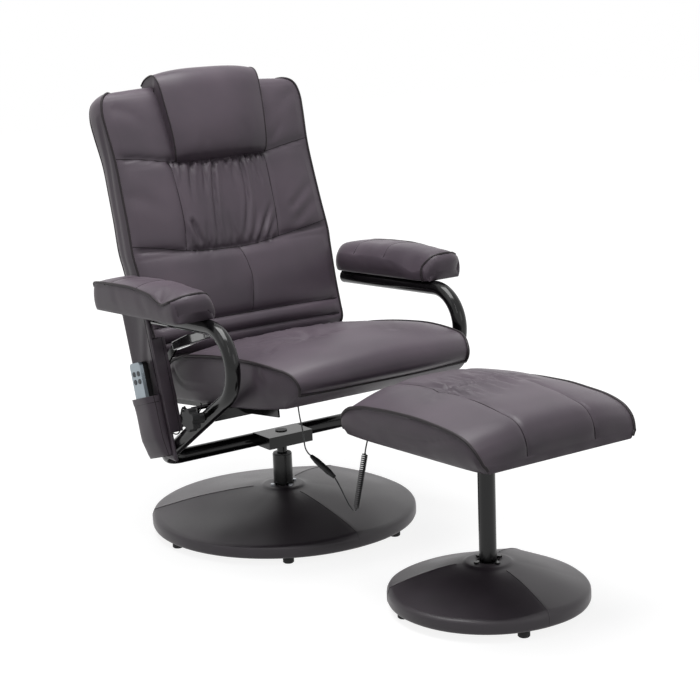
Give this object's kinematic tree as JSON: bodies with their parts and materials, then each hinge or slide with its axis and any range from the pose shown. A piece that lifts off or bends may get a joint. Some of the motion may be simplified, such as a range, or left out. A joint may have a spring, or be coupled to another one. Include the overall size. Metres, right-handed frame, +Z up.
{
  "type": "reflexology chair",
  "caption": "Swivel massage recliner with looped steel arms, padded seat, back and headrest, wired handset and matching footstool on round bases.",
  "frame": {"origin": "on the floor, in the middle of the box round the chair and its footstool", "axes": "+Z up, -Y the way the sitter faces, +X to the sitter's left"},
  "size_m": [0.742, 1.2711, 1.0216],
  "materials": {
    "brown_leather": "satin",
    "padded_leather": "satin",
    "black_steel": "gloss",
    "zinc_steel": "satin",
    "black_plastic": "matte",
    "gloss_black": "gloss",
    "silver_plastic": "satin",
    "grey_plastic": "matte",
    "nylon": "satin",
    "wood_board": "matte",
    "black_rubber": "matte",
    "cord_rubber": "satin"
  },
  "bodies": {
    "base": {"base_core": "wood_board", "base_cover": "brown_leather", "base_feet": "black_rubber", "post_sleeve": "black_steel", "base_nuts": "zinc_steel", "swivel_bush": "nylon"},
    "frame": {"swivel_spindle": "black_steel", "hub_box": "black_steel", "frame_tube_right": "black_steel", "frame_tube_left": "black_steel", "frame_caps": "black_plastic", "front_crossbar": "black_steel", "crossbar_inserts": "zinc_steel", "crossbar_bolt": "zinc_steel", "seat_rails": "black_steel", "seat_straps": "black_steel", "hinge_pins": "zinc_steel", "friction_discs": "zinc_steel", "seat_board": "wood_board", "seat_cushion": "padded_leather", "control_box": "black_plastic", "dc_inlet": "black_plastic", "seat_motors": "black_plastic", "arm_boards": "wood_board", "arm_pad_right": "padded_leather", "arm_pad_left": "padded_leather", "arm_screws": "zinc_steel", "pocket_panel": "brown_leather", "pocket_pouch": "brown_leather", "cord_glands": "black_plastic", "handset_lead": "cord_rubber", "handset_coil": "cord_rubber", "link_lead_upper": "cord_rubber", "link_socket": "black_plastic"},
    "recline_lever": {"lever_arm": "black_steel", "lever_grip": "gloss_black"},
    "clamp_knob": {"clamp_knob": "black_plastic", "knob_stud": "zinc_steel"},
    "back": {"back_board": "wood_board", "back_brackets": "black_steel", "back_cushion": "padded_leather", "headrest_pad": "padded_leather", "back_rear_cover": "brown_leather", "back_motors": "black_plastic"},
    "handset": {"handset_front": "silver_plastic", "handset_back": "black_plastic"},
    "button_1": {"button_1": "grey_plastic"},
    "button_2": {"button_2": "grey_plastic"},
    "button_3": {"button_3": "grey_plastic"},
    "button_4": {"button_4": "grey_plastic"},
    "footstool": {"stool_core": "wood_board", "stool_cover": "brown_leather", "stool_feet": "black_rubber", "stool_post": "black_steel", "stool_board": "wood_board", "stool_cushion": "padded_leather", "stool_gland": "black_plastic", "link_plug": "black_plastic", "link_lead_lower": "cord_rubber", "link_coil": "cord_rubber"}
  },
  "joints": [
    {"name": "swivel", "type": "hinge", "parent": "base", "child": "frame", "pos_m": [0, 0.294, 0.17], "axis": [0, 0, 1], "continuous": true},
    {"name": "recline", "type": "hinge", "parent": "frame", "child": "back", "pos_m": [0, 0.406, 0.34421], "axis": [-1, 0, 0], "range_deg": [0, 35]},
    {"name": "lever_lift", "type": "hinge", "parent": "frame", "child": "recline_lever", "pos_m": [0, 0.406, 0.34421], "axis": [-1, 0, 0], "range_deg": [0, 8], "stiffness_Nm_per_rad": 4, "springref_deg": -11.46},
    {"name": "knob_turn", "type": "hinge", "parent": "frame", "child": "clamp_knob", "pos_m": [-0.335, 0.11, 0.34032], "axis": [1, 0, 0], "continuous": true},
    {"name": "handset_lift", "type": "slide", "parent": "frame", "child": "handset", "axis": [0, 0.283, 0.9591], "range_m": [0, 0.06]},
    {"name": "button_1_press", "type": "slide", "parent": "handset", "child": "button_1", "axis": [1, 0, 0], "range_m": [0, 0.0008], "stiffness_N_per_m": 1500},
    {"name": "button_2_press", "type": "slide", "parent": "handset", "child": "button_2", "axis": [1, 0, 0], "range_m": [0, 0.0008], "stiffness_N_per_m": 1500},
    {"name": "button_3_press", "type": "slide", "parent": "handset", "child": "button_3", "axis": [1, 0, 0], "range_m": [0, 0.0008], "stiffness_N_per_m": 1500},
    {"name": "button_4_press", "type": "slide", "parent": "handset", "child": "button_4", "axis": [1, 0, 0], "range_m": [0, 0.0008], "stiffness_N_per_m": 1500},
    {"name": "footstool_slide", "type": "slide", "parent": "base", "child": "footstool", "axis": [0, -1, 0], "range_m": [0, 0.15]}
  ]
}
